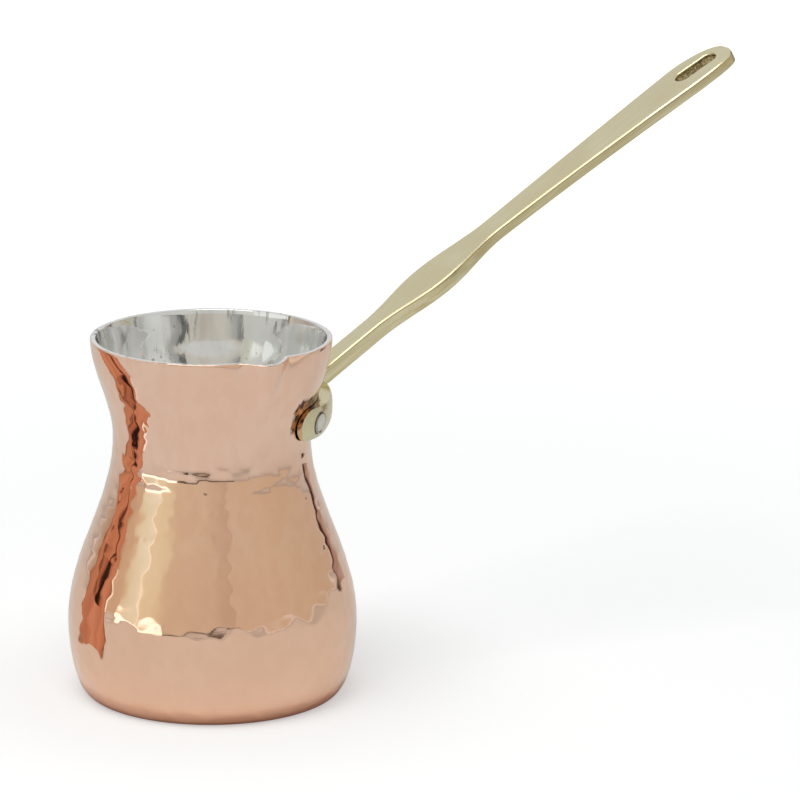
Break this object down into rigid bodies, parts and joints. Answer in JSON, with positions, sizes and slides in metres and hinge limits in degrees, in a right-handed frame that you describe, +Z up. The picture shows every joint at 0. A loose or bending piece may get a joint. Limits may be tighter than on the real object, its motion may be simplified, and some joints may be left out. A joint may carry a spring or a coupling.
{
  "type": "coffee pot",
  "caption": "Small hammered copper stove-top coffee pot with a tinned inside, a pressed pouring spout and a long riveted brass handle with a hanging eye.",
  "frame": {"origin": "centre of the base, on the surface that the pot stands on", "axes": "+Z up through the mouth, +X towards the handle, -Y towards the spout"},
  "size_m": [0.1868, 0.0726, 0.1511],
  "materials": {
    "copper": "hammered and polished copper",
    "tin": "wiped bright tin",
    "brass": "cast and polished pale brass",
    "rivet": "filed flush and polished"
  },
  "bodies": {
    "root": {"copper_body": "copper", "tin_lining": "tin", "handle": "brass", "rivet_front": "rivet", "rivet_back": "rivet"}
  },
  "joints": []
}
